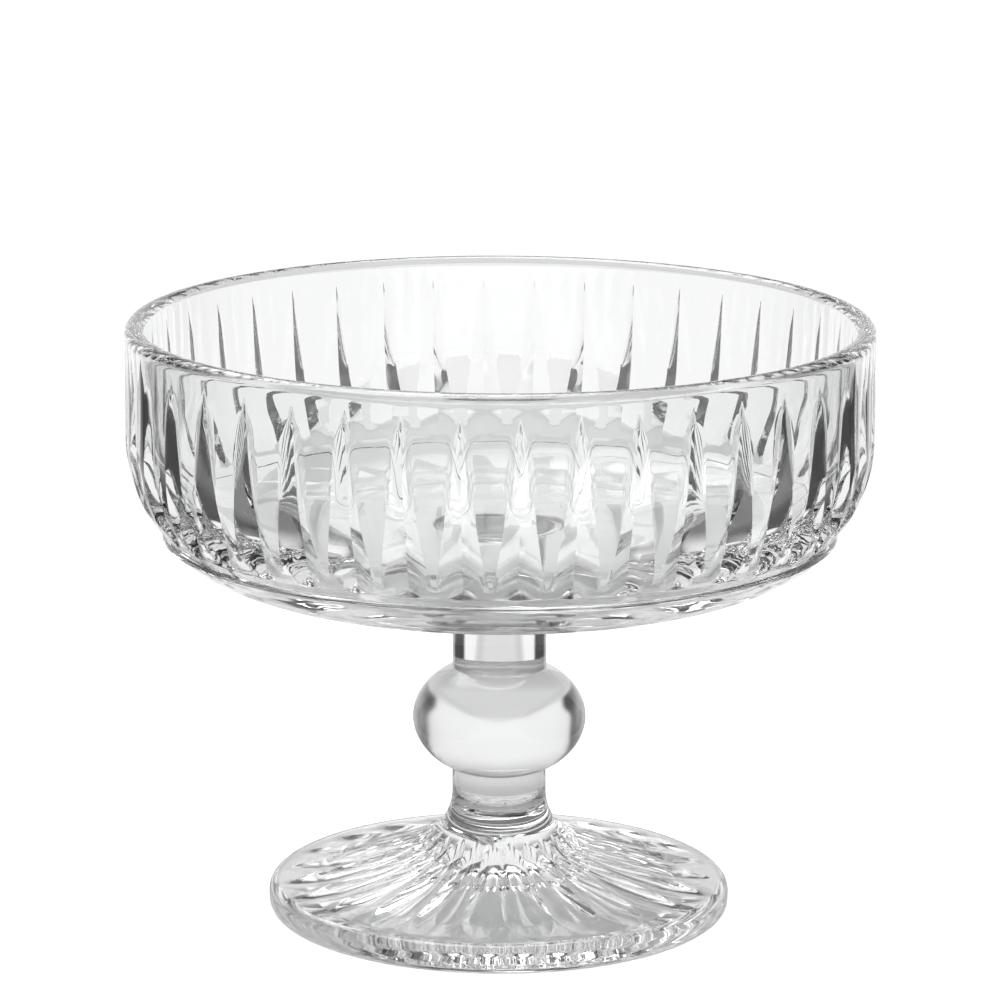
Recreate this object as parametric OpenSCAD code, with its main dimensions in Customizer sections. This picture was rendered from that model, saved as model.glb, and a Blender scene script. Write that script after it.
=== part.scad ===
// Footed dessert glass of clear pressed glass.
// A round bowl stands on a stem with a knop, and the stem stands on a wide foot.
// The three pressings meet on flat faces and are fused hot, so nothing moves.
// Lengths are in millimetres. Z is the axis of the glass, and it stands on z = 0.

/* [Bowl] */
// Outer diameter of the bowl
bowl_d = 110; // [100:0.5:120]
// Height of the bowl from its underside to its rim
bowl_h = 38.2; // [36:0.1:46]
// Radius of the bend from the outer wall to the underside
bend_r = 21.4; // [18:0.1:24]
// Thickness of the rounded rim
rim_t = 2.9; // [2.4:0.1:3.6]
// Taper of the inner wall, in degrees, so that the plunger lifts out
inner_draft = 1.2; // [0.4:0.1:2.5]
// Radius of the bend from the inner wall to the inner floor
inner_bend_r = 17; // [12:0.1:19]
// Thickness of the glass under the inner floor
floor_t = 5.6; // [4.5:0.1:8]

/* [Bowl ledge] */
// Height of the ledge's corner above the underside
ledge_h = 6.5; // [5:0.1:7.5]
// Distance by which the ledge stands out from the bend
ledge_w = 0.9; // [0.7:0.1:1.2]
// Rounding of the ledge's upper corner
ledge_edge_r = 0.65; // [0.4:0.05:0.7]
// Height of the plain band between the ledge and the petals
band_h = 2.5; // [1.5:0.1:3]

/* [Bowl flutes] */
// Number of creases around the bowl
crease_n = 42; // [24:1:48]
// Turn of the first crease from the front, in degrees
crease_turn = 2.9; // [0:0.1:8.5]
// Drop from the rim to the upper tips of the creases
crease_drop = 3.5; // [2.5:0.1:6]
// Slope of a crease into the straight wall, in degrees
crease_slope = 3.4; // [2:0.1:4]
// Slope of a crease into the bend, in degrees
crease_dip = 16.2; // [12:0.1:18]
// Angle between the two faces of a crease, in degrees
crease_angle = 132; // [115:1:140]

/* [Stem] */
// Diameter of the collars above and below the knop
collar_d = 14; // [12:0.1:17]
// Height of the stem from the foot to the bowl
stem_h = 38.3; // [34:0.1:46]
// Diameter of the knop
knop_d = 25.8; // [22:0.1:32]
// Height of the knop if it ran on to its poles
knop_h = 18.4; // [15:0.1:22]
// Height of the knop's middle above the lower end of the stem
knop_z = 16.4; // [15:0.1:19]
// Radius of the hollow flare at the lower end of the stem
flare_r = 8.4; // [5:0.1:9]
// Height of the flare at the lower end of the stem
flare_h = 5; // [2:0.1:5]
// Radius of the fillet under the bowl
fillet_r = 3; // [1:0.1:4]

/* [Foot] */
// Diameter of the foot
foot_d = 69; // [64:0.5:80]
// Height of the foot from the table to the stem
foot_h = 13; // [12:0.1:15]
// Thickness of the foot at its edge
foot_edge_t = 4.4; // [3.8:0.1:5.4]
// Rounding of the foot's edge
foot_edge_r = 1.7; // [0.8:0.1:1.8]
// Radius of the knee, where the flat slope of the foot turns up to the stem
knee_r = 14; // [12:0.1:17]
// Height of the knee above the table
knee_z = 8.6; // [7.6:0.1:9.4]
// Width of the flat ring that the foot rests on
rest_w = 5; // [3:0.1:8]
// Height of the hollow under the foot at its middle
hollow_h = 5.3; // [3:0.1:6]
// Radius of the flat top of the hollow
hollow_top_r = 9; // [6:0.1:12]

/* [Foot flutes] */
// Number of creases around the foot
ray_n = 24; // [16:1:30]
// Turn of the first crease from the front, in degrees
ray_turn = 10.5; // [0:0.1:14.5]
// Depth of the creases at the knee
ray_depth = 0.8; // [0.4:0.1:1.1]
// Distance of the creases' inner tips from the stem
ray_start = 1; // [0.6:0.1:2]
// Distance of the creases' outer tips from the edge of the foot
ray_end = 4.5; // [3:0.1:8]
// Angle between the two faces of a crease, in degrees
ray_angle = 128; // [110:1:140]

/* [Hidden] */
$fn = 96;

// Heights where the pieces meet
stem_z = foot_h;
bowl_z = stem_z + stem_h;
rim_z = bowl_z + bowl_h;

// Bowl: the bend's centre, the rim's centre and the cavity
bowl_r = bowl_d / 2;
rim_r = rim_t / 2;
rim_centre = [bowl_r - rim_r, rim_z - rim_r];
bend_centre = [bowl_r - bend_r, bowl_z + bend_r];
floor_z = bowl_z + floor_t;
inner_r = bowl_r - rim_t;
inner_z = floor_z + inner_bend_r;
inner_x = inner_r - (inner_bend_r + (rim_centre[1] - inner_z) * sin(inner_draft)) / cos(inner_draft);

// Ledge: its corner, the round base under it, and the band from the ledge up to the bend
function bend_x(z) = bend_centre[0] + sqrt(bend_r * bend_r - (bend_centre[1] - z) * (bend_centre[1] - z));
ledge_z = bowl_z + ledge_h;
ledge_x = bend_x(ledge_z) + ledge_w;
base_x = ledge_x - bend_centre[0];
base_bend_r = (base_x * base_x + ledge_h * ledge_h) / (2 * ledge_h);
band_foot = [ledge_x - ledge_edge_r, ledge_z + ledge_edge_r];
band_top_z = band_foot[1] + band_h;

// Creases of the bowl: the upper tip, the turn, the run from there to the band, and the depth of the wedge
crease_tip = [bowl_r, rim_z - crease_drop];
crease_turn_z = bend_centre[1];
crease_turn_x = bowl_r - (crease_tip[1] - crease_turn_z) * tan(crease_slope);
crease_run = (crease_turn_z - band_foot[1]) / cos(crease_dip);
wedge_d = rim_t + bend_r / 4;

// Stem: the flare's widest radius, and the angles at which the knop meets the collars
collar_r = collar_d / 2;
knop_r = knop_d / 2;
flare_out = flare_r - sqrt(flare_r * flare_r - flare_h * flare_h);
stem_r = collar_r + flare_out;
knop_end = acos(collar_r / knop_r);
knop_steps = 24;

// Foot: the slope runs from the shoulder at the edge to the knee, and from there up to the stem
foot_r = foot_d / 2;
shoulder = [foot_r - foot_edge_r, foot_edge_t];
knee = [knee_r, knee_z];
stem_seat = [stem_r, foot_h];
hollow_r = shoulder[0] - rest_w;

// Creases of the foot: the turn sunk under the knee, and from there to just past a tip on each slope
function on_line(a, b, x) = a + (b - a) * (x - a[0]) / (b[0] - a[0]);
function past(a, b, d) = b + (b - a) * d / norm(b - a);
ray_sunk = knee - [0, ray_depth];
ray_overrun = 0.5;
ray_path = [
    past(ray_sunk, on_line(stem_seat, knee, stem_r + ray_start), ray_overrun),
    ray_sunk,
    past(ray_sunk, on_line(knee, shoulder, foot_r - ray_end), ray_overrun)
];
ray_wedge_d = 3 * ray_depth;

// Half section of the bowl's round base, with the ledge on top of it
module bowl_base() {
    translate([0, bowl_z]) square([bend_centre[0], ledge_h]);
    intersection() {
        translate([bend_centre[0], bowl_z + base_bend_r]) circle(base_bend_r);
        translate([bend_centre[0], bowl_z]) square([base_bend_r, ledge_h]);
    }
    intersection() {
        translate([band_foot[0], ledge_z]) circle(ledge_edge_r);
        translate([band_foot[0], ledge_z]) square(ledge_edge_r);
    }
}

// Half section of the bowl's outside, filled in to the axis
module bowl_outside() {
    bowl_base();
    polygon([
        [0, ledge_z], [band_foot[0], ledge_z], band_foot, [bend_x(band_top_z), band_top_z], [0, band_top_z]
    ]);
    translate([0, band_top_z]) square([bend_centre[0], bend_centre[1] - band_top_z]);
    intersection() {
        translate(bend_centre) circle(bend_r);
        translate([bend_centre[0], band_top_z]) square([bend_r, bend_centre[1] - band_top_z]);
    }
    translate([0, bend_centre[1]]) square([bowl_r, rim_centre[1] - bend_centre[1]]);
    translate(rim_centre) circle(rim_r);
}

// Half section of the bowl's inside: floor, bend and tapered wall, open at the top
module bowl_inside() {
    tangent = [inner_x + inner_bend_r * cos(inner_draft), inner_z - inner_bend_r * sin(inner_draft)];
    polygon([
        [0, floor_z], [inner_x, floor_z], tangent,
        [inner_r, rim_centre[1]], [inner_r, rim_z], [0, rim_z]
    ]);
    intersection() {
        translate([inner_x, inner_z]) circle(inner_bend_r);
        translate([inner_x, floor_z]) square([inner_bend_r, inner_bend_r]);
    }
}

// Wedge with its edge through [x, z], leaning outwards from upright by lean degrees as it rises
module wedge(at, lean, angle, depth, length) {
    half_w = depth * tan(angle / 2);
    translate([at[0], 0, at[1]])
    rotate([0, lean, 0])
    translate([0, 0, -length / 2])
    linear_extrude(length)
    polygon([[0, 0], [depth, -half_w], [depth, half_w]]);
}

// One crease of the bowl: shallow down the straight wall, then steeper where the wall bends in
module bowl_crease() {
    wedge(crease_tip, crease_slope, crease_angle, wedge_d, 2 * bowl_h);
    wedge([crease_turn_x, crease_turn_z], crease_dip, crease_angle, wedge_d, 2 * crease_run);
}

// Bowl with a smooth inside and creases pressed into its outside
module bowl() {
    color("gainsboro")
    difference() {
        rotate_extrude() difference() {
            bowl_outside();
            bowl_inside();
        }
        for (i = [0 : crease_n - 1])
            rotate(i * 360 / crease_n + crease_turn - 90) bowl_crease();
    }
}

// Half section of the knop, an ellipse cut off where it meets the collars
module knop_section() {
    translate([0, stem_z + knop_z])
    polygon(concat(
        [[0, -knop_h / 2 * sin(knop_end)]],
        [for (i = [-knop_steps : knop_steps])
            let (a = knop_end * i / knop_steps)
            [knop_r * cos(a), knop_h / 2 * sin(a)]],
        [[0, knop_h / 2 * sin(knop_end)]]
    ));
}

// Stem: collar with a flare on the foot, knop, and collar with a fillet under the bowl
module stem() {
    color("gainsboro")
    rotate_extrude() {
        translate([0, stem_z]) square([collar_r, stem_h]);
        knop_section();
        difference() {
            translate([0, stem_z]) square([stem_r, flare_h]);
            translate([collar_r + flare_r, stem_z + flare_h]) circle(flare_r);
        }
        difference() {
            translate([0, bowl_z - fillet_r]) square([collar_r + fillet_r, fillet_r]);
            translate([collar_r + fillet_r, bowl_z - fillet_r]) circle(fillet_r);
        }
    }
}

// Half section of the foot, with the slope on top, a rounded edge and a hollow underneath
module foot_section() {
    difference() {
        polygon([[0, 0], [shoulder[0], 0], shoulder, knee, stem_seat, [0, foot_h]]);
        polygon([[0, 0], [hollow_r, 0], [hollow_top_r, hollow_h], [0, hollow_h]]);
    }
    translate([shoulder[0] - foot_edge_r, foot_edge_r])
        square([2 * foot_edge_r, foot_edge_t - 2 * foot_edge_r]);
    for (z = [foot_edge_r, foot_edge_t - foot_edge_r])
        translate([shoulder[0], z]) circle(foot_edge_r);
}

// One crease of the foot: down the steep part, then out along the flat part
module foot_crease() {
    for (i = [0 : 1]) {
        run = ray_path[i] - ray_path[i + 1];
        wedge((ray_path[i] + ray_path[i + 1]) / 2, atan2(run[0], run[1]), ray_angle, ray_wedge_d, norm(run));
    }
}

// Foot with creases that run out from the stem like rays
module foot() {
    color("gainsboro")
    difference() {
        rotate_extrude() foot_section();
        for (i = [0 : ray_n - 1])
            rotate(i * 360 / ray_n + ray_turn - 90) foot_crease();
    }
}

bowl();
stem();
foot();
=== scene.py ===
"""Looks of a footed dessert glass of clear pressed glass.

Bowl, stem and foot are closed surfaces of revolution with relief, worked out as whole arrays.
A surface is a profile of radius and height, turned about the axis of the glass, with creases pressed in.
Lengths are in millimetres until a mesh is made, which is in metres. Azimuth 0 is the front, at -Y.
"""
import math

import bpy
import numpy as np
from mathutils import Matrix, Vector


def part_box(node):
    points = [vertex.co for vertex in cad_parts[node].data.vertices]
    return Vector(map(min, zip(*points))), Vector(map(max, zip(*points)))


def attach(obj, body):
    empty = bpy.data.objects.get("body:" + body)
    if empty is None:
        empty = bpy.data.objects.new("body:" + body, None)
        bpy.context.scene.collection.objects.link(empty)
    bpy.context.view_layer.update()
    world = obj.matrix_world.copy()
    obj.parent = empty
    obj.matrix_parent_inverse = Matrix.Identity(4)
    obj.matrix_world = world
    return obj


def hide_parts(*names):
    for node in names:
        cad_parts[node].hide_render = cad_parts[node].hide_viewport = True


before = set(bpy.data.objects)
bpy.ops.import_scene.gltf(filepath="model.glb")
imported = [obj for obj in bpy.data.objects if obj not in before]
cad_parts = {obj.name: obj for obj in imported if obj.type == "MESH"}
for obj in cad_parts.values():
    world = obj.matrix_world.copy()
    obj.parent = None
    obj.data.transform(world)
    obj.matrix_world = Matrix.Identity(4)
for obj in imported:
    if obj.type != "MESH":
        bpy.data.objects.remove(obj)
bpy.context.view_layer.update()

MM = 0.001

# Sizes that the frame gives
bowl_low, bowl_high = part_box("bowl")
stem_low, stem_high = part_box("stem")
foot_low, foot_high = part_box("foot")
BOWL_R = bowl_high.x / MM
RIM_Z = bowl_high.z / MM
BOWL_Z = bowl_low.z / MM
KNOP_R = stem_high.x / MM
STEM_Z = stem_low.z / MM
FOOT_R = foot_high.x / MM
TABLE_Z = foot_low.z / MM

# Bowl
BEND_R = 21.4
RIM_T = 2.9
INNER_DRAFT = math.radians(1.2)
INNER_BEND_R = 17.0
FLOOR_T = 5.6

# Creases of the bowl
CREASE_N = 42
CREASE_TURN = math.radians(2.9)
CREASE_DROP = 3.5
CREASE_SLOPE = math.radians(3.4)
CREASE_DIP = math.radians(16.2)
CREASE_EASE = 1.2
CREASE_REACH = 1.0
CREASE_WIDEN = 0.1485
CREASE_SPREAD = 1.0
CREASE_POWER = (2.0, 1.0)
CREASE_SHARPENS = (4.0, 16.0)
PETAL_ENDS = (0.85, 1.15)

# Ledge under the petals
BAND_SINK = 0.45
LEDGE_Z = 57.8
LEDGE_H = 0.65
LEDGE_W = 0.7

# Stem
COLLAR_R = 7.0
KNOP_HALF_H = 9.2
KNOP_Z = STEM_Z + 16.4
FLARE_R = 8.4
FLARE_H = 5.0
FILLET_R = 3.0

# Foot
EDGE_T = 4.4
EDGE_R = 1.7
SLOPE_PULL = (15.0, 6.9)
REST_W = 5.0
HOLLOW_H = 5.3
HOLLOW_TOP_R = 9.0

# Flutes of the foot
RAY_N = 24
RAY_TURN = math.radians(3.0)
RAY_DEPTH = 0.8
RAY_START = (9.4, 12.0)
RAY_END = (26.0, 32.0)

# Worked out from these: centres of the rim and the bend, the band above the ledge, the round base, the joint
RIM_R = RIM_T / 2
RIM = (BOWL_R - RIM_R, RIM_Z - RIM_R)
BEND = (BOWL_R - BEND_R, BOWL_Z + BEND_R)
BAND_Z = LEDGE_Z + LEDGE_H
BAND_R = BEND[0] + math.sqrt(BEND_R ** 2 - (BEND[1] - BAND_Z) ** 2) - BAND_SINK
BASE_RISE = LEDGE_Z - BOWL_Z
BASE_R = ((BAND_R + LEDGE_W - BEND[0]) ** 2 + BASE_RISE ** 2) / (2 * BASE_RISE)
BASE = (BEND[0], BOWL_Z + BASE_R)
FLOOR_Z = BOWL_Z + FLOOR_T
JOINT_R = COLLAR_R + FILLET_R

# Mesh density
PETAL_COLUMNS = 20
SMOOTH_COLUMNS = 4
RAY_COLUMNS = 24
STEM_COLUMNS = 192
TABLE_COLUMNS = 64
COLUMN_SPREAD = (0.12, 0.94)
BASE_JOIN = (-67, -64)
BEND_MIDDLE = -27
POLE_SHARE = 0.1
FLOOR_POLE_SHARE = 0.05
SHARP_ANGLE = math.radians(25)
JOINT_SLOT = 1

# Glass: its look, the waves and the uneven polish of its skin
GLASS_COLOUR = (0.97, 0.975, 0.975, 1)
GLASS_IOR = 1.51
GLASS_FADE = 2.5
WAVE_SCALE = 140.0
WAVE_H = 0.03
POLISH_SCALE = 90.0
GLASS_DULL = 0.02
KNOP_DULL = 0.3

# Table top: an oval in matt white
TABLE_HALF_W = 60.0
TABLE_HALF_L = 400.0
TABLE_DROP = 0.05
TABLE_TONE = 0.9
TABLE_ROUGHNESS = 0.9
TABLE_GLOW = 0.25
TABLE_GLOW_SEEN = 0.85

# Painted shadows on the table, which show through the glass: a grey strip behind the glass that stands for
# its own shadow cast backwards by a light in front, and a grey ring around the foot that stands for the
# shadow under the bowl
PAINTED_STRIP_SHADOW_END = 211.0
PAINTED_STRIP_SHADOW_EDGE = (44.0, 57.0)
PAINTED_STRIP_SHADOW_DARKENS = (30.0, 42.0)
PAINTED_STRIP_SHADOW_DARK = (0.15, 0.24)
PAINTED_SHADE_START = (34.0, 38.0)
PAINTED_RING_SHADOW_FADE = (45.0, 95.0)
PAINTED_RING_SHADOW_DARK = 0.4

# Dark flags at the sides, with angles in degrees
FLAG_START = (35, 41)
FLAG_LEAN = 10
FLAG_OPEN = ((-8, 4), (16, 24))
FLAG_EASE = (62, 78)
FLAG_REST = 0.85
FLAG_END = (130, 150)
FLAG_LOW = (-60, -40)
FLAG_TOP = (35, 55)
FLAG_DARK = 0.95

# Backdrop, ceiling and soft box, with angles in degrees
BACKDROP = 1.04
CEILING = (16, 32)
CEILING_DARK = 0.8
BOX_AZIMUTH = -20
BOX_ELEVATION = 56
BOX_SIZE = (16, 26)
BOX_LIGHT = 4.5

# Camera, from the photo's outlines
CAMERA_AWAY = 680.0
CAMERA_UP = 219.1
CAMERA_DOWN = math.radians(12.98)
CAMERA_ROLL = math.radians(0.2)
CAMERA_LENS = 170.06
SENSOR = 36.0


def line(start, end, rows):
    """Points on the straight line from start to end, the end left out."""
    t = np.linspace(0, 1, rows, endpoint=False)[:, None]
    return np.array(start) * (1 - t) + np.array(end) * t


def arc(centre, radii, start, end, rows):
    """Points on an ellipse about centre, from one angle to another in degrees, the end left out."""
    a = np.radians(np.linspace(start, end, rows, endpoint=False))
    return np.stack([centre[0] + radii[0] * np.cos(a), centre[1] + radii[1] * np.sin(a)], 1)


def bezier(start, pull, end, rows):
    """Points on the curve (1-t)^2 start + 2t(1-t) pull + t^2 end, the end left out."""
    t = np.linspace(0, 1, rows, endpoint=False)[:, None]
    return (1 - t) ** 2 * np.array(start) + 2 * t * (1 - t) * np.array(pull) + t ** 2 * np.array(end)


def smooth_step(value, low, high):
    """0 below low, 1 above high, and 3t^2 - 2t^3 between them."""
    t = np.clip((value - low) / (high - low), 0, 1)
    return t * t * (3 - 2 * t)


def even_azimuths(rows, columns, turn=0.0):
    """The same evenly spaced azimuths on every row."""
    return np.tile(turn + np.arange(columns) * 2 * math.pi / columns, (rows, 1))


def crease_azimuths(radius, half_width):
    """Azimuths that follow the bowl's creases, and each one's offset from its crease.

    Half the columns of a pitch lie across the crease and half beside it. Within a pitch u runs from -1 to 1
    with the crease at 0. Up to |u| = 0.5 the offset from the crease grows from 0 to the crease's half width,
    and from there to half a pitch.
    """
    half_pitch = math.pi / CREASE_N
    u = np.arange(PETAL_COLUMNS) / PETAL_COLUMNS * 2 - 1
    least, most = COLUMN_SPREAD
    reach = np.clip(half_width / radius, least * half_pitch, most * half_pitch)[:, None]
    side = np.abs(u)
    beside = reach + (side - 0.5) * 2 * (half_pitch - reach)
    offset = np.where(side < 0.5, side * 2 * reach, beside) * np.sign(u)
    azimuth = CREASE_TURN + np.arange(CREASE_N)[None, :, None] * 2 * half_pitch + offset[:, None, :]
    return azimuth.reshape(len(radius), -1), np.tile(np.abs(offset), (1, CREASE_N))


def ring_points(radius, azimuth, height):
    """Points at a radius and an azimuth from the front, in metres."""
    height = np.broadcast_to(height, azimuth.shape)
    return np.stack([radius * np.sin(azimuth), -radius * np.cos(azimuth), height], -1) * MM


def turned(profile, columns, turn=0.0):
    """Points of a profile of radius and height that is turned about the axis."""
    return ring_points(profile[:, :1], even_azimuths(len(profile), columns, turn), profile[:, 1:])


class Shell:
    """Rings of points, from the pole below to the pole above, joined by faces that point outwards."""

    def __init__(self):
        self.points = []
        self.faces = []
        self.slots = []
        self.size = 0

    def add(self, points):
        """Adds points and gives their numbers."""
        points = points.reshape(-1, 3)
        numbers = np.arange(self.size, self.size + len(points))
        self.points.append(points)
        self.size += len(points)
        return numbers

    def skin(self, faces, slot):
        """Adds faces, all with as many corners, in one material slot."""
        self.faces += faces.tolist()
        self.slots += [slot] * len(faces)

    def rings(self, points, slot=0):
        """Adds rows of points joined by four-cornered faces, and gives the numbers of both end rings."""
        rows, columns = points.shape[:2]
        n = self.add(points).reshape(rows, columns)
        after = np.roll(n, -1, 1)
        self.skin(np.stack([n[:-1], after[:-1], after[1:], n[1:]], -1).reshape(-1, 4), slot)
        return n[0], n[-1]

    def join(self, below, above, slot=0):
        """Joins two rings, where one may have a whole number of times as many points as the other."""
        share_above = max(1, len(above) // len(below))
        share_below = max(1, len(below) // len(above))
        cells = min(len(above), len(below))
        start = np.arange(cells)[:, None]
        low = below[(start * share_below + np.arange(share_below + 1)) % len(below)]
        high = above[(start * share_above + np.arange(share_above + 1)) % len(above)]
        self.skin(np.concatenate([low, high[:, ::-1]], 1), slot)

    def cap(self, ring, height, slot=0, top=False):
        """Closes a ring with triangles to a pole on the axis."""
        pole = np.full(len(ring), self.add(np.array([[0.0, 0.0, height * MM]]))[0])
        after = np.roll(ring, -1)
        self.skin(np.stack([ring, after, pole] if top else [pole, after, ring], -1), slot)

    def thing(self, name, materials):
        """An object with these points, faces and materials."""
        mesh = bpy.data.meshes.new(name)
        mesh.from_pydata(np.concatenate(self.points), [], self.faces)
        for material in materials:
            mesh.materials.append(material)
        mesh.polygons.foreach_set("material_index", np.array(self.slots, dtype=np.int32))
        made = bpy.data.objects.new(name, mesh)
        bpy.context.collection.objects.link(made)
        return made

    def piece(self, name, materials):
        """A piece of the glass, with smooth faces and sharp creases."""
        made = self.thing(name, materials)
        made.data.shade_smooth()
        made.data.set_sharp_from_angle(angle=SHARP_ANGLE)
        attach(made, "root")
        return made


def bowl_relief(radius, height):
    """Depth, half width and power of the creases, and how far the wall is sunk all round, row by row.

    The bottom of a crease follows two straight lines, the lower one steeper, with a smooth change: half of
    the sum of both less the root of their difference squared plus the ease squared. The depth is the wall's
    radius less the bottom's, and it starts at nothing at the upper tip. The half width grows evenly from
    the tip, with some more near it, until the petals between the creases end in points. Below these the
    wall is sunk all round, down to the ledge.
    """
    tip_z = RIM_Z - CREASE_DROP
    upper = BOWL_R - (tip_z - height) * math.tan(CREASE_SLOPE)
    turn_r = BOWL_R - (tip_z - BEND[1]) * math.tan(CREASE_SLOPE)
    lower = turn_r - (BEND[1] - height) * math.tan(CREASE_DIP)
    bottom = (upper + lower - np.sqrt((upper - lower) ** 2 + CREASE_EASE ** 2)) / 2
    run = np.maximum(0, tip_z - height)
    depth = np.maximum(0, radius - bottom) * smooth_step(run, 0, CREASE_REACH)
    sharp = smooth_step(run, *CREASE_SHARPENS)
    spread = CREASE_SPREAD * smooth_step(run, 0, CREASE_SHARPENS[0]) * (1 - sharp)
    half_width = run * CREASE_WIDEN + spread
    power = CREASE_POWER[0] + (CREASE_POWER[1] - CREASE_POWER[0]) * sharp
    all_round = smooth_step(half_width * CREASE_N / (math.pi * radius), *PETAL_ENDS)
    return np.maximum(depth, BAND_SINK * all_round), half_width, power, all_round


def bowl_outside():
    """Points of the outside: round base, ledge, petals in the bend and on the wall, and half of the rim.

    Across a crease the depth falls off as 1 - distance / half width, to the row's power, so its bottom is
    sharp. Where the wall is sunk all round, it falls off less.
    """
    base_end = -math.degrees(math.asin((BASE_R - BASE_RISE) / BASE_R))
    band_start = -math.degrees(math.asin((BEND[1] - BAND_Z) / BEND_R))
    base = np.concatenate([
        arc(BASE, (BASE_R, BASE_R), BASE_JOIN[1], base_end, 8),
        arc((BAND_R, LEDGE_Z), (LEDGE_W, LEDGE_H), 0, 90, 7),
    ])
    petals = np.concatenate([
        arc(BEND, (BEND_R, BEND_R), band_start, BEND_MIDDLE, 20),
        arc(BEND, (BEND_R, BEND_R), BEND_MIDDLE, 0, 24),
        line((BOWL_R, BEND[1]), (BOWL_R, RIM[1]), 32),
        arc(RIM, (RIM_R, RIM_R), 0, 90, 7),
    ])
    radius, height = petals.T
    depth, half_width, power, all_round = bowl_relief(radius, height)
    azimuth, offset = crease_azimuths(radius, half_width)
    across = 1 - offset * radius[:, None] / np.maximum(half_width, 1e-6)[:, None]
    share = np.maximum(np.clip(across, 0, 1) ** power[:, None], all_round[:, None])
    creased = ring_points(radius[:, None] - depth[:, None] * share, azimuth, height[:, None])
    base_azimuth = np.tile(azimuth[:1], (len(base), 1))
    return np.concatenate([ring_points(base[:, :1], base_azimuth, base[:, 1:]), creased])


def bowl_inside():
    """Profile of the inside, downwards: the rim's inner half, a wall that narrows, a bend and a flat floor.

    The wall leans inwards by the draft and touches the bend's circle, which sets the circle's centre.
    """
    wall_r = BOWL_R - RIM_T
    bend_z = FLOOR_Z + INNER_BEND_R
    lean = (RIM[1] - bend_z) * math.sin(INNER_DRAFT)
    bend = (wall_r - (INNER_BEND_R + lean) / math.cos(INNER_DRAFT), bend_z)
    draft = math.degrees(INNER_DRAFT)
    bend_rows = arc(bend, (INNER_BEND_R, INNER_BEND_R), -draft, -90, 30)
    return np.concatenate([
        arc(RIM, (RIM_R, RIM_R), 90, 180, 7),
        line((wall_r, RIM[1]), bend_rows[0], 12),
        bend_rows,
        line((bend[0], FLOOR_Z), (bend[0] * FLOOR_POLE_SHARE, FLOOR_Z), 12),
    ])


def bowl_piece(glass, joint):
    """Bowl: the joint in the middle of a flat underside, base, creased outside, rim and smooth inside."""
    columns = CREASE_N * SMOOTH_COLUMNS
    turn = CREASE_TURN - math.pi / CREASE_N
    seat = line((JOINT_R * POLE_SHARE, BOWL_Z), (JOINT_R, BOWL_Z), 4)
    base = np.concatenate([
        line((JOINT_R, BOWL_Z), (BEND[0], BOWL_Z), 8),
        arc(BASE, (BASE_R, BASE_R), -90, BASE_JOIN[0], 8),
    ])
    shell = Shell()
    seat_in, seat_out = shell.rings(turned(seat, columns, turn), JOINT_SLOT)
    base_in, base_out = shell.rings(turned(base, columns, turn))
    outside_low, outside_high = shell.rings(bowl_outside())
    inside_high, inside_low = shell.rings(turned(bowl_inside(), columns, turn))
    shell.cap(seat_in, BOWL_Z, JOINT_SLOT)
    shell.join(seat_out, base_in, JOINT_SLOT)
    shell.join(base_out, outside_low)
    shell.join(outside_high, inside_high)
    shell.cap(inside_low, FLOOR_Z, top=True)
    made = shell.piece("bowl_glass", [glass, joint])
    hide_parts("bowl")
    return made


def stem_piece(glass, joint):
    """Stem: flare on the foot, collar, knop in the form of an ellipse, collar and fillet under the bowl."""
    flare = (COLLAR_R + FLARE_R, STEM_Z + FLARE_H)
    flare_end = math.degrees(math.asin(FLARE_H / FLARE_R))
    knop_end = math.degrees(math.acos(COLLAR_R / KNOP_R))
    knop_half = KNOP_HALF_H * math.sin(math.radians(knop_end))
    fillet = (JOINT_R, BOWL_Z - FILLET_R)
    side = np.concatenate([
        arc(flare, (FLARE_R, FLARE_R), 180 + flare_end, 180, 14),
        line((COLLAR_R, flare[1]), (COLLAR_R, KNOP_Z - knop_half), 6),
        arc((0, KNOP_Z), (KNOP_R, KNOP_HALF_H), -knop_end, knop_end, 48),
        line((COLLAR_R, KNOP_Z + knop_half), (COLLAR_R, fillet[1]), 10),
        arc(fillet, (FILLET_R, FILLET_R), 180, 90, 10),
        [[JOINT_R, BOWL_Z]],
    ])
    shell = Shell()
    low, high = shell.rings(turned(side, STEM_COLUMNS))
    shell.cap(low, STEM_Z, JOINT_SLOT)
    shell.cap(high, BOWL_Z, JOINT_SLOT, top=True)
    made = shell.piece("stem_glass", [glass, joint])
    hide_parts("stem")
    return made


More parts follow.
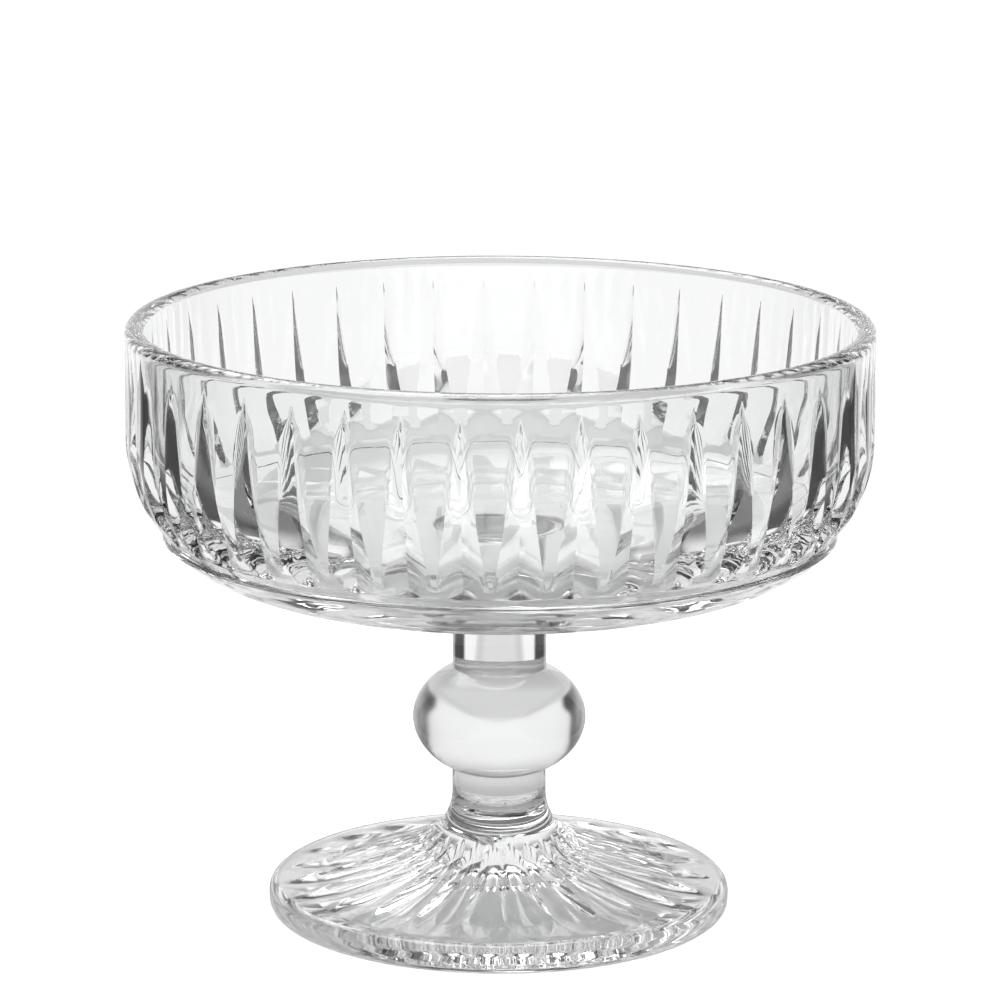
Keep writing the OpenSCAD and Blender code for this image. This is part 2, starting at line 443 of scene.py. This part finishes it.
def foot_piece(glass, joint):
    """Foot: hollow underneath, flat rest, rounded edge and a curved slope with concave flutes on top.

    Across a flute the surface sinks by the depth there less the full depth times the square of the
    distance from its middle, where that is above nothing. So flutes meet in sharp ridges, and end round.
    """
    shoulder = (FOOT_R - EDGE_R, EDGE_T)
    stem_r = COLLAR_R + FLARE_R - math.sqrt(FLARE_R ** 2 - FLARE_H ** 2)
    hollow_r = shoulder[0] - REST_W
    edge_low = (shoulder[0], EDGE_R)
    edge_high = (shoulder[0], EDGE_T - EDGE_R)
    profile = np.concatenate([
        line((HOLLOW_TOP_R * POLE_SHARE, HOLLOW_H), (HOLLOW_TOP_R, HOLLOW_H), 5),
        line((HOLLOW_TOP_R, HOLLOW_H), (hollow_r, TABLE_Z), 16),
        line((hollow_r, TABLE_Z), (shoulder[0], TABLE_Z), 5),
        arc(edge_low, (EDGE_R, EDGE_R), -90, 0, 10),
        line((FOOT_R, EDGE_R), (FOOT_R, edge_high[1]), 2),
        arc(edge_high, (EDGE_R, EDGE_R), 0, 90, 10),
        bezier(shoulder, SLOPE_PULL, (stem_r, STEM_Z), 70),
        [[stem_r, STEM_Z]],
    ])
    columns = RAY_N * RAY_COLUMNS
    azimuth = even_azimuths(len(profile), columns, RAY_TURN)
    radius, height = profile[:, :1], profile[:, 1:]
    top = (height > EDGE_T) & (radius < shoulder[0])
    start = np.interp(radius, RAY_START, (0, 1))
    end = np.interp(radius, RAY_END, (1, 0))
    from_middle = np.abs((np.arange(columns) / RAY_COLUMNS) % 1 * 2 - 1)
    sunk = RAY_DEPTH * np.maximum(0, np.minimum(start, end) - from_middle ** 2) * top
    shell = Shell()
    low, high = shell.rings(ring_points(radius, azimuth, height - sunk))
    shell.cap(low, HOLLOW_H)
    shell.cap(high, STEM_Z, JOINT_SLOT, top=True)
    made = shell.piece("foot_glass", [glass, joint])
    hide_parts("foot")
    return made


class Graph:
    """Short ways to build a shader's arithmetic in one node tree."""

    def __init__(self, tree):
        self.tree = tree

    def put(self, socket, given):
        """Gives a socket a link or a plain value."""
        if isinstance(given, bpy.types.NodeSocket):
            self.tree.links.new(given, socket)
        else:
            socket.default_value = given

    def node(self, kind, **inputs):
        """A node with links or plain values for its inputs, named with _ for each space."""
        made = self.tree.nodes.new("ShaderNode" + kind)
        for name, given in inputs.items():
            self.put(made.inputs[name.replace("_", " ")], given)
        return made

    def surface(self, inputs):
        """Gives inputs of the material's main shader links or plain values."""
        for name, given in inputs.items():
            self.put(self.tree.nodes["Principled BSDF"].inputs[name], given)

    def math(self, operation, *given):
        """The result of one operation on links or plain values."""
        made = self.tree.nodes.new("ShaderNodeMath")
        made.operation = operation
        for socket, value in zip(made.inputs, given):
            self.put(socket, value)
        return made.outputs[0]

    def step(self, value, low, high, start=0.0, end=1.0):
        """Smooth change from start to end as the value goes from low to high."""
        made = self.node("MapRange", Value=value, From_Min=low, From_Max=high, To_Min=start, To_Max=end)
        made.interpolation_type = "SMOOTHSTEP"
        return made.outputs["Result"]

    def between(self, value, rise, fall):
        """Smooth rise from 0 to 1 over one range of the value, and fall to 0 over another, in degrees."""
        up = self.step(value, *np.radians(rise))
        return self.math("MULTIPLY", up, self.step(value, *np.radians(fall), 1.0, 0.0))

    def length(self, x, y):
        """The square root of x squared plus y squared."""
        return self.math("SQRT", self.math("ADD", self.math("MULTIPLY", x, x), self.math("MULTIPLY", y, y)))

    def axes(self, output):
        """X, Y and Z of one kind of texture coordinates."""
        return self.node("SeparateXYZ", Vector=self.node("TexCoord").outputs[output]).outputs

    def seen(self):
        """1 for what the camera sees directly, and 0 for what it sees by way of the glass."""
        return self.node("LightPath").outputs["Is Camera Ray"]


def new_material(name):
    """A material with a node tree, and the short ways to build it."""
    material = bpy.data.materials.new(name)
    material.use_nodes = True
    return material, Graph(material.node_tree)


def fade(graph):
    """Light fades a little on its way through the glass."""
    volume = graph.node("VolumeAbsorption", Color=(0, 0, 0, 1), Density=GLASS_FADE)
    graph.put(graph.tree.nodes["Material Output"].inputs["Volume"], volume.outputs["Volume"])


def clear_glass():
    """Clear fire-polished glass: a faint waviness of the pressed surface, and a slightly uneven polish.

    The roughness is noise from nothing up to a limit, which rises from both ends of the knop to its middle.
    """
    material, graph = new_material("clear_glass")
    place = graph.node("TexCoord").outputs["Object"]
    polish = graph.node("TexNoise", Vector=place, Scale=POLISH_SCALE, Detail=3.0).outputs["Fac"]
    wave = graph.node("TexNoise", Vector=place, Scale=WAVE_SCALE, Detail=1.0).outputs["Fac"]
    from_knop = graph.math("ABSOLUTE", graph.math("SUBTRACT", graph.axes("Object")[2], KNOP_Z * MM))
    dull = graph.step(from_knop, KNOP_HALF_H / 2 * MM, KNOP_HALF_H * MM, KNOP_DULL, GLASS_DULL)
    graph.surface({
        "Base Color": GLASS_COLOUR,
        "Transmission Weight": 1.0,
        "IOR": GLASS_IOR,
        "Roughness": graph.node("MapRange", Value=polish, To_Min=0.0, To_Max=dull).outputs["Result"],
        "Normal": graph.node("Bump", Strength=1.0, Distance=WAVE_H * MM, Height=wave).outputs["Normal"],
    })
    fade(graph)
    return material


def fused_joint():
    """Where two pressings are fused the glass runs through, so light passes straight on."""
    material, graph = new_material("fused_joint")
    graph.tree.nodes.remove(graph.tree.nodes["Principled BSDF"])
    shader = graph.node("BsdfTransparent").outputs["BSDF"]
    graph.put(graph.tree.nodes["Material Output"].inputs["Surface"], shader)
    fade(graph)
    return material


def table_white_painted_shadows():
    """Matt white with two painted grey shadows, which show through the glass.

    The painted shadow behind the glass is a strip that stands for the glass's own shadow cast backwards. It
    is set by the distance from its middle line, past whose end it runs out round, and it is darker towards
    its edge. The painted shadow under the bowl is a ring that fades outwards with the distance from the
    axis. The darker of the two counts, and there is none under the foot. The painted shade dims the glow as
    well as the colour. The camera itself sees the table lit up to white.
    """
    material, graph = new_material("table_white_painted_shadows")
    x, y = [graph.math("DIVIDE", axis, MM) for axis in graph.axes("Object")[:2]]
    # Painted shadow of the glass, cast backwards: a strip with a round far end, darker towards its edge
    away = graph.length(x, graph.math("MAXIMUM", graph.math("SUBTRACT", y, PAINTED_STRIP_SHADOW_END), 0.0))
    painted_shadow_strip = graph.step(away, *PAINTED_STRIP_SHADOW_EDGE, 1.0, 0.0)
    painted_shadow_strip = graph.math("MULTIPLY", painted_shadow_strip, graph.step(away, *PAINTED_STRIP_SHADOW_DARKENS, *PAINTED_STRIP_SHADOW_DARK))
    # Painted shadow under the bowl: a grey ring around the foot that fades outwards
    around = graph.length(x, y)
    ring = graph.step(around, *PAINTED_RING_SHADOW_FADE, PAINTED_RING_SHADOW_DARK, 0.0)
    # Painted shade: the darker of the two painted shadows, cleared under the foot
    painted_shade = graph.math("MULTIPLY", graph.math("MAXIMUM", painted_shadow_strip, ring), graph.step(around, *PAINTED_SHADE_START))
    light = graph.math("SUBTRACT", 1.0, painted_shade)
    seen = graph.seen()
    # The painted shade dims the table's glow too
    glow = graph.math("MULTIPLY", light, TABLE_GLOW)
    graph.surface({
        # Painted shade darkens the colour that is seen by way of the glass
        "Base Color": graph.math("MULTIPLY", graph.math("MAXIMUM", light, seen), TABLE_TONE),
        "Roughness": TABLE_ROUGHNESS,
        "Specular IOR Level": 0.0,
        "Emission Color": (1, 1, 1, 1),
        "Emission Strength": graph.math("MAXIMUM", glow, graph.math("MULTIPLY", seen, TABLE_GLOW_SEEN)),
    })
    return material


def pale_floor():
    """An oval table top just under the foot: two rings and a pole, drawn out to the oval's half axes."""
    rings = turned(np.array([[1.0, -TABLE_DROP], [POLE_SHARE, -TABLE_DROP]]), TABLE_COLUMNS)
    shell = Shell()
    middle = shell.rings(rings * (TABLE_HALF_W, TABLE_HALF_L, 1))[1]
    shell.cap(middle, -TABLE_DROP, top=True)
    made = shell.thing("floor", [table_white_painted_shadows()])
    return made


def studio_light():
    """A white backdrop with dark flags at both sides, a darker ceiling and a soft box high up at the back.

    Tones are set by direction: azimuth from the back of the glass and elevation above the horizon. A flag
    is the product of a rise and a fall in azimuth and in elevation. It starts further out where it leans
    and is less dark at the far sides. The soft box is round, and set by the cosine of the angle from its
    middle. The camera itself sees plain white.
    """
    world = bpy.data.worlds.new("studio")
    bpy.context.scene.world = world
    world.use_nodes = True
    tree = world.node_tree
    tree.nodes.clear()
    graph = Graph(tree)
    x, y, z = graph.axes("Generated")
    azimuth = graph.math("ABSOLUTE", graph.math("ARCTAN2", x, y))
    elevation = graph.math("ARCSINE", z)
    lean = graph.math("MULTIPLY", graph.between(elevation, *FLAG_OPEN), math.radians(FLAG_LEAN))
    flag = graph.between(graph.math("SUBTRACT", azimuth, lean), FLAG_START, FLAG_END)
    flag = graph.math("MULTIPLY", flag, graph.between(elevation, FLAG_LOW, FLAG_TOP))
    flag = graph.math("MULTIPLY", flag, graph.step(azimuth, *np.radians(FLAG_EASE), 1.0, FLAG_REST))
    light = graph.math("SUBTRACT", 1.0, graph.math("MULTIPLY", flag, FLAG_DARK))
    ceiling = graph.step(elevation, *np.radians(CEILING), BACKDROP, BACKDROP * (1 - CEILING_DARK))
    light = graph.math("MULTIPLY", light, ceiling)
    turn, rise = np.radians((BOX_AZIMUTH, BOX_ELEVATION))
    near = graph.math("MULTIPLY", x, math.cos(rise) * math.sin(turn))
    near = graph.math("MULTIPLY_ADD", y, math.cos(rise) * math.cos(turn), near)
    near = graph.math("MULTIPLY_ADD", z, math.sin(rise), near)
    box = graph.step(near, *np.cos(np.radians(BOX_SIZE[::-1])), 0.0, BOX_LIGHT)
    light = graph.math("MAXIMUM", graph.math("ADD", light, box), graph.seen())
    background = graph.node("Background", Color=(1, 1, 1, 1), Strength=light)
    output = tree.nodes.new("ShaderNodeOutputWorld")
    tree.links.new(background.outputs["Background"], output.inputs["Surface"])


def photo_camera():
    """Camera at the photo's height, tilt, slight roll and lens."""
    data = bpy.data.cameras.new("camera")
    data.sensor_width = SENSOR
    data.lens = CAMERA_LENS
    data.clip_end = 100
    made = bpy.data.objects.new("camera", data)
    made.location = (0, -CAMERA_AWAY * MM, CAMERA_UP * MM)
    tilt = Matrix.Rotation(math.pi / 2 - CAMERA_DOWN, 3, "X")
    made.rotation_euler = (tilt @ Matrix.Rotation(CAMERA_ROLL, 3, "Z")).to_euler()
    bpy.context.collection.objects.link(made)
    bpy.context.scene.camera = made


scene = bpy.context.scene
scene.view_settings.view_transform = "Standard"
scene.cycles.max_bounces = 32
scene.cycles.transmission_bounces = 32
scene.cycles.glossy_bounces = 16
scene.cycles.transparent_max_bounces = 16

photo_camera()
studio_light()
pale_floor()
glass = clear_glass()
joint = fused_joint()
bowl_piece(glass, joint)
stem_piece(glass, joint)
foot_piece(glass, joint)
